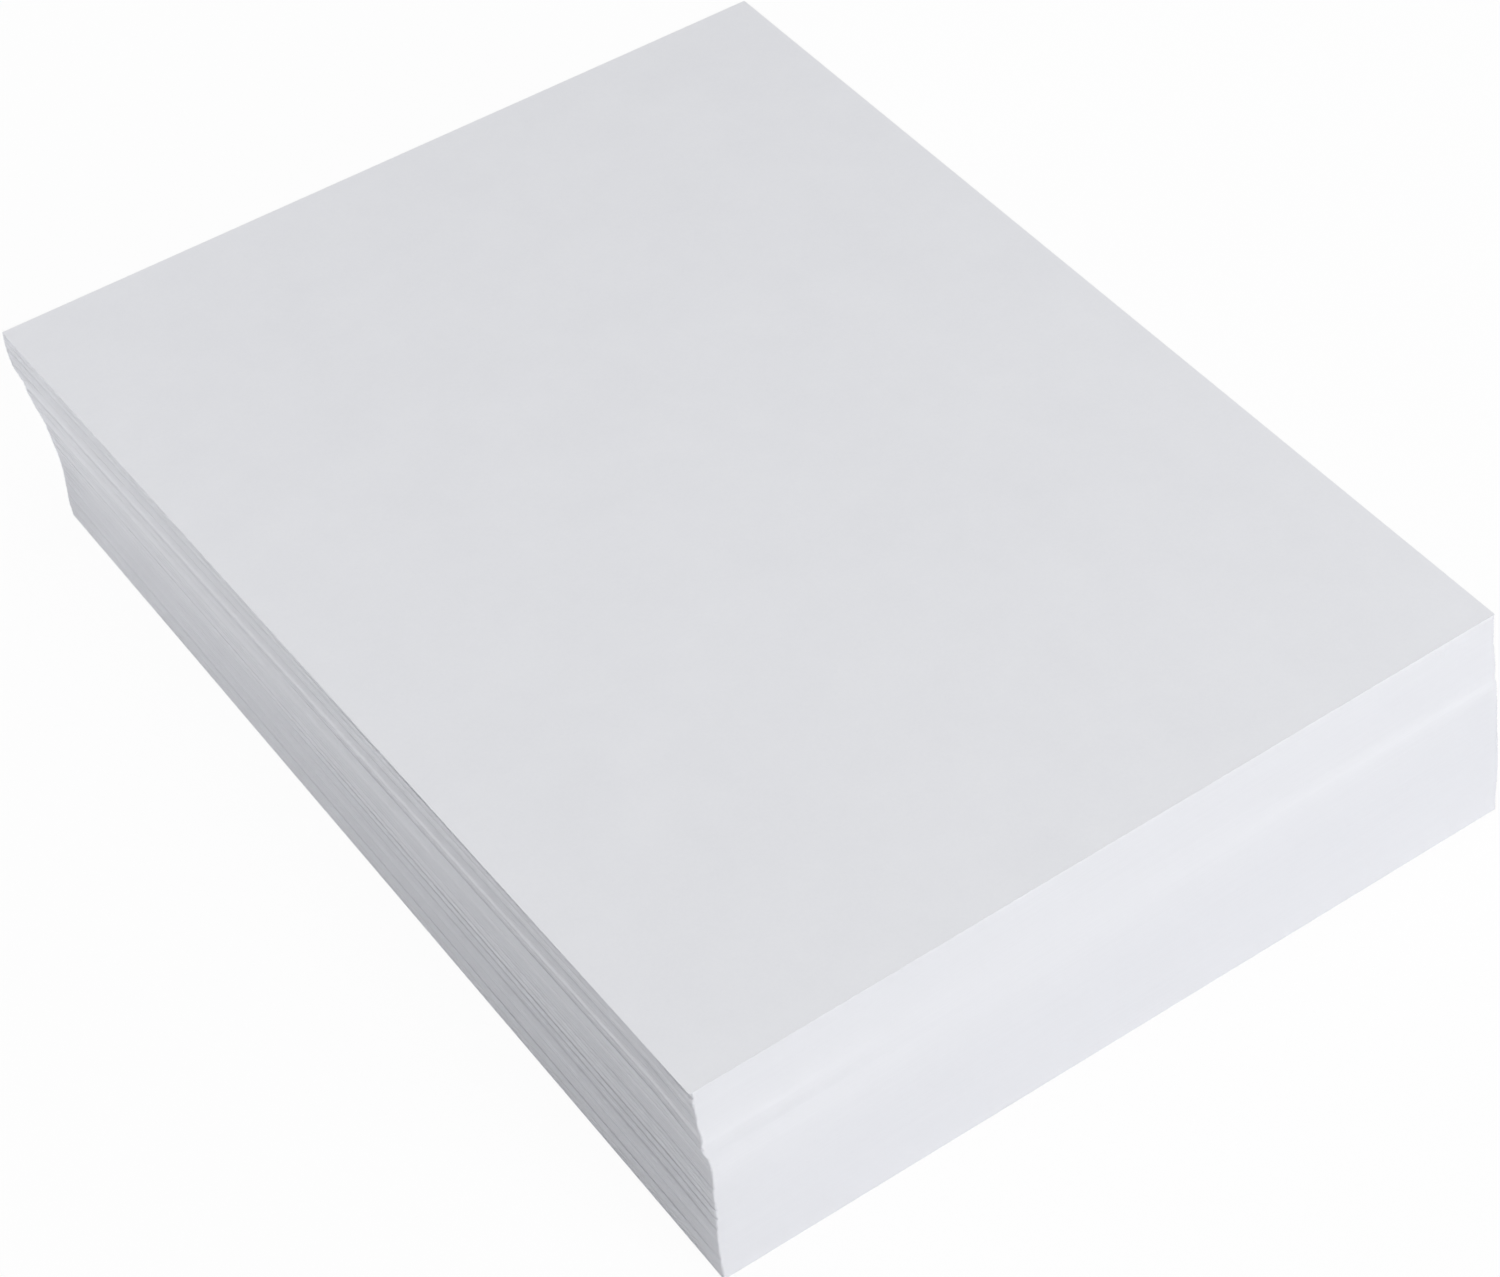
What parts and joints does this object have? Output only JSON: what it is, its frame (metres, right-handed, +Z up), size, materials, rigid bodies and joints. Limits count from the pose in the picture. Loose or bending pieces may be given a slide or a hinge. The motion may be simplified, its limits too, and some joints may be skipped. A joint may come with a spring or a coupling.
{
  "type": "ream of paper",
  "caption": "Unwrapped ream of plain white letter paper, a loose stack of sheets that leans and fans a little at its sides.",
  "frame": {"origin": "on the surface that the stack stands on, under the middle of the stack's footprint", "axes": "+Z up through the stack, +Y along the sheets' long edges, +X along their short edges"},
  "size_m": [0.2224, 0.2876, 0.059],
  "materials": {
    "paper": "matte"
  },
  "bodies": {
    "root": {"quire_01": "paper", "quire_02": "paper", "quire_03": "paper", "quire_04": "paper", "quire_05": "paper", "quire_06": "paper", "quire_07": "paper", "quire_08": "paper", "quire_09": "paper", "quire_10": "paper", "quire_11": "paper", "quire_12": "paper", "quire_13": "paper", "quire_14": "paper", "quire_15": "paper", "quire_16": "paper", "quire_17": "paper", "quire_18": "paper", "quire_19": "paper", "quire_20": "paper"}
  },
  "joints": []
}
